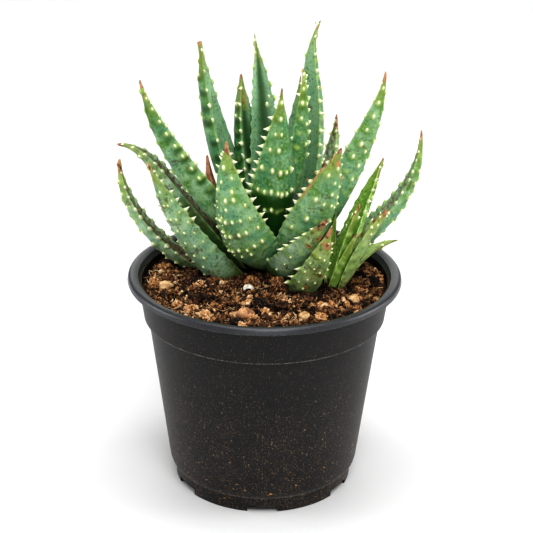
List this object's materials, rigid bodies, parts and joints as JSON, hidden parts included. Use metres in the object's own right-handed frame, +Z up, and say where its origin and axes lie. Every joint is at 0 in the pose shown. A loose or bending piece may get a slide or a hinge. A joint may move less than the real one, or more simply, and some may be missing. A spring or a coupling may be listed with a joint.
{
  "type": "potted toothed aloe",
  "caption": "Small aloe rosette of thick, tapering blue-green leaves with cream teeth and bumps and a young offset, in a round tapered black nursery pot of peat mix.",
  "frame": {"origin": "centre of the circle that the pot's feet stand on, on the ground", "axes": "+Z up, +Y towards the back of the plant, +X towards the side where the offset grows"},
  "size_m": [0.1367, 0.122, 0.2069],
  "materials": {
    "pot": "matt moulded black polypropylene",
    "potting_mix": "rough damp peat, bark chips and fibres",
    "pebble": "worn, dull tan to whitish stone",
    "leaf": "waxy blue-green skin with a dull bloom, cream teeth and bumps, brown tips",
    "offset_leaf": "waxy yellow-green skin of the young offset",
    "dried_leaf": "papery, dried reddish-brown leaf",
    "stem": "dull, fibrous green-brown stem"
  },
  "bodies": {
    "root": {"leaf_low_left": "leaf", "leaf_arched_left": "leaf", "leaf_front_left_low": "leaf", "leaf_front_right_low": "leaf", "leaf_front_low": "leaf", "leaf_low_right": "leaf", "leaf_back_low_left": "leaf", "leaf_back_low": "leaf", "leaf_back_low_mid": "leaf", "leaf_back_low_right": "leaf", "leaf_left_tall": "leaf", "leaf_front_left": "leaf", "leaf_front_right": "leaf", "leaf_right_tall": "leaf", "leaf_back_left_tall": "leaf", "leaf_back_right": "leaf", "leaf_back_mid_left": "leaf", "leaf_back_mid_right": "leaf", "leaf_front_mid": "leaf", "leaf_inner_left": "leaf", "leaf_back_mid": "leaf", "leaf_back_right_tall": "leaf", "leaf_inner_right": "leaf", "leaf_inner_back": "leaf", "leaf_heart_left": "leaf", "leaf_heart_right": "leaf", "leaf_dry": "dried_leaf", "offset_leaf_back": "offset_leaf", "offset_leaf_inner": "offset_leaf", "offset_leaf_left": "offset_leaf", "offset_leaf_right": "offset_leaf", "offset_leaf_front": "offset_leaf", "offset_leaf_outer": "offset_leaf", "stem": "stem", "offset_stem": "stem", "pebble_left": "pebble", "pebble_white": "pebble", "pebble_front": "pebble", "pebble_front_right": "pebble", "pebble_right": "pebble", "soil": "potting_mix", "pot": "pot"}
  },
  "joints": []
}
